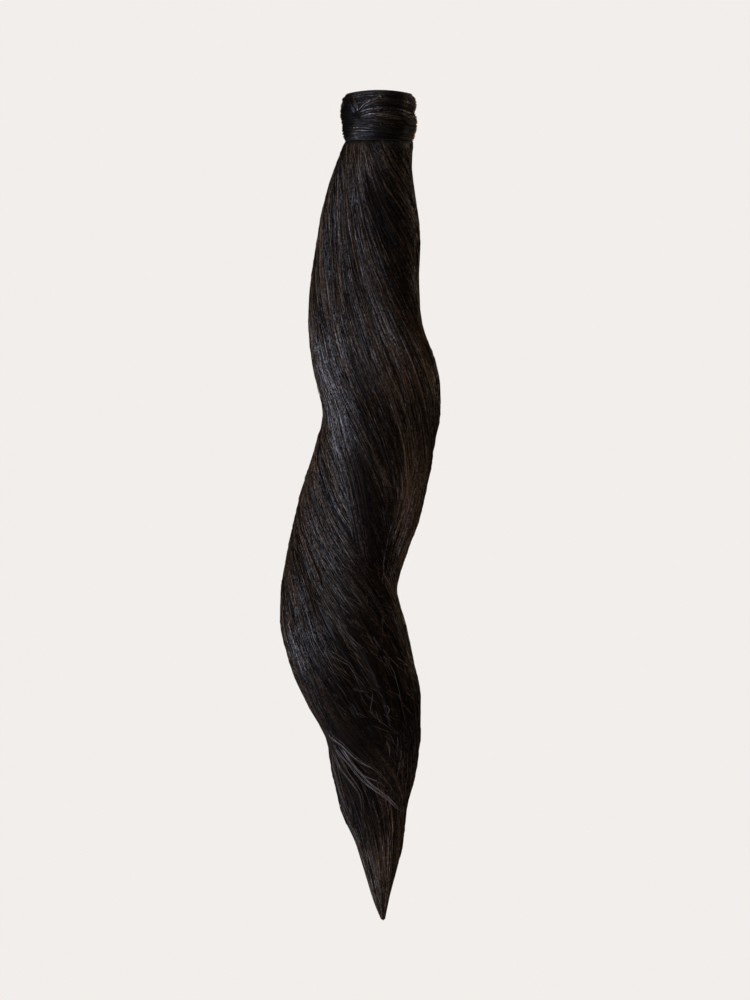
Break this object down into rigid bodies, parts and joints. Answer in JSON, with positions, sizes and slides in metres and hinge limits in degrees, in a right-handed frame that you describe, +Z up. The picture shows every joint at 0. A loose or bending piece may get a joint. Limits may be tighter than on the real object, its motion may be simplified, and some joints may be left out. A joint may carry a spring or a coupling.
{
  "type": "wrap-round ponytail hairpiece",
  "caption": "Long twisted tail of dark hair hanging from a root that a wound lock hides, open inside to close round the wearer's own tied hair.",
  "frame": {"origin": "middle of the collar's top opening, where the wearer's own tied hair enters the piece", "axes": "+Z up along the collar's axis, out of its top; +X to the right as seen from the front; -Y is the front that the picture shows"},
  "size_m": [0.0968, 0.0783, 0.509],
  "materials": {
    "strap_fabric": "plain woven black-brown strap",
    "tail_hair": "smooth near-black brown hair with a soft sheen along the strands",
    "wrap_hair": "the same hair, drawn tight and smoother"
  },
  "bodies": {
    "root": {"base_strap": "strap_fabric", "tail_hair": "tail_hair", "wrap_strand": "wrap_hair"}
  },
  "joints": []
}
